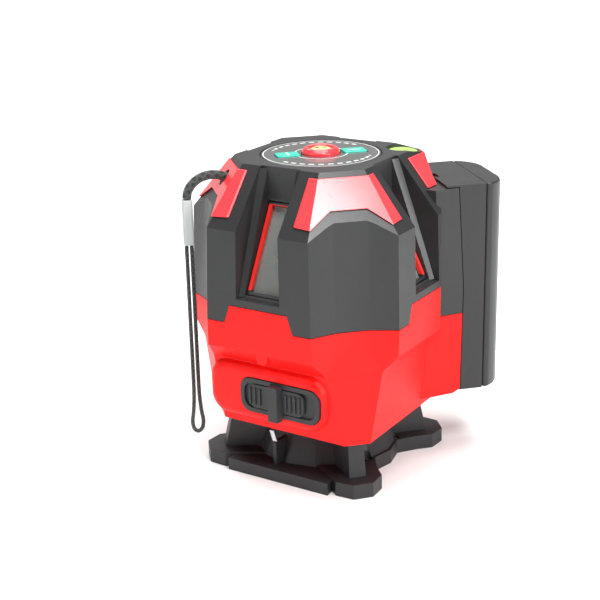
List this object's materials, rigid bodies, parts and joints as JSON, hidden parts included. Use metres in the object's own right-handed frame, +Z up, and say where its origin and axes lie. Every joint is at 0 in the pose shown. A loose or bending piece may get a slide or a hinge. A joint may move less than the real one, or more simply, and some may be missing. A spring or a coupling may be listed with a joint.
{
  "type": "line laser level",
  "caption": "Self-levelling cross-line laser with a turning four-lobed base, slanted windows, a sliding pendulum lock, a keypad, a bubble vial and a clip-on battery pack.",
  "frame": {"origin": "on the vertical turning axis, at the plane the base stands on", "axes": "+Z up along the turning axis; -Y out through the front pillar; +X towards the battery pack; -X towards the wrist strap"},
  "size_m": [0.1263, 0.104, 0.1286],
  "materials": {
    "red_plastic": "satin moulded plastic",
    "accent_plastic": "satin moulded plastic",
    "trim_plastic": "satin moulded plastic",
    "charcoal_plastic": "fine moulded texture",
    "black_plastic": "moulded, slightly worn",
    "rubber": "moulded rubber",
    "window_glass": "clear, polished",
    "label": "printed film",
    "key_plastic": "printed film over a key",
    "lens_plastic": "clear moulded lens",
    "vial_liquid": "liquid under a clear cover",
    "vial_glass": "clear, polished",
    "steel": "turned",
    "brass": "turned",
    "aluminium": "cast and machined",
    "copper": "stamped sheet",
    "circuit_board": "varnished board",
    "cell_wrap": "shrink wrap",
    "cord": "braided cord",
    "clasp": "moulded plastic"
  },
  "bodies": {
    "base": {"base_plate": "black_plastic", "base_pad_1": "rubber", "base_pad_2": "rubber", "base_pad_3": "rubber", "base_pad_4": "rubber", "tripod_bush": "brass", "centre_screw": "steel", "index_pointer": "steel"},
    "head": {"turntable_hub": "black_plastic", "lower_shell": "red_plastic", "upper_shell": "charcoal_plastic", "accent_front": "accent_plastic", "accent_left": "accent_plastic", "accent_back": "accent_plastic", "accent_right": "accent_plastic", "window_trim_right_back": "trim_plastic", "window_trim_left_back": "trim_plastic", "window_trim_left_front": "trim_plastic", "window_trim_right_front": "trim_plastic", "window_glass_right_back": "window_glass", "window_glass_left_back": "window_glass", "window_glass_left_front": "window_glass", "window_glass_right_front": "window_glass", "shell_screw_1": "steel", "shell_screw_2": "steel", "shell_screw_3": "steel", "shell_screw_4": "steel", "label_disc": "label", "key_board": "circuit_board", "vial_body": "vial_liquid", "vial_lens": "vial_glass", "lock_bezel": "black_plastic", "gimbal_bracket": "aluminium", "magnet_base": "steel", "main_board": "circuit_board", "contact_block": "black_plastic", "strap_pin": "steel", "strap_arch": "cord", "strap_clasp": "clasp", "strap_loop": "cord"},
    "vertical_key": {"vertical_key": "key_plastic"},
    "horizontal_key": {"horizontal_key": "key_plastic"},
    "dome": {"dome_button": "red_plastic", "dome_lens": "lens_plastic"},
    "lock": {"lock_slider": "black_plastic", "lock_fork": "aluminium"},
    "gimbal": {"gimbal_ring": "brass"},
    "pendulum": {"pendulum_core": "aluminium", "laser_left_front": "brass", "laser_right_front": "brass", "laser_upright": "brass", "cone_left_front": "window_glass", "cone_right_front": "window_glass", "cone_upright": "window_glass", "balance_weight": "brass", "damper_disc": "copper"},
    "battery": {"pack_tray": "charcoal_plastic", "pack_cover": "charcoal_plastic", "cell_front": "cell_wrap", "cell_back": "cell_wrap"}
  },
  "joints": [
    {"name": "head_turn", "type": "hinge", "parent": "base", "child": "head", "pos_m": [0, 0, 0], "axis": [0, 0, 1], "continuous": true},
    {"name": "vertical_key_press", "type": "slide", "parent": "head", "child": "vertical_key", "axis": [0, 0, -1], "range_m": [0, 0.0006], "stiffness_N_per_m": 400},
    {"name": "horizontal_key_press", "type": "slide", "parent": "head", "child": "horizontal_key", "axis": [0, 0, -1], "range_m": [0, 0.0006], "stiffness_N_per_m": 400},
    {"name": "dome_press", "type": "slide", "parent": "head", "child": "dome", "axis": [0, 0, -1], "range_m": [0, 0.0006], "stiffness_N_per_m": 400},
    {"name": "lock_slide", "type": "slide", "parent": "head", "child": "lock", "axis": [0.7071, -0.7071, 0], "range_m": [0, 0.0046]},
    {"name": "gimbal_roll", "type": "hinge", "parent": "head", "child": "gimbal", "pos_m": [0, 0, 0.107], "axis": [1, 0, 0], "range_deg": [-4, 4]},
    {"name": "gimbal_pitch", "type": "hinge", "parent": "gimbal", "child": "pendulum", "pos_m": [0, 0, 0.107], "axis": [0, -1, 0], "range_deg": [-4, 4]},
    {"name": "pack_slide", "type": "slide", "parent": "head", "child": "battery", "axis": [1, 0, 0], "range_m": [0, 0.03]}
  ]
}
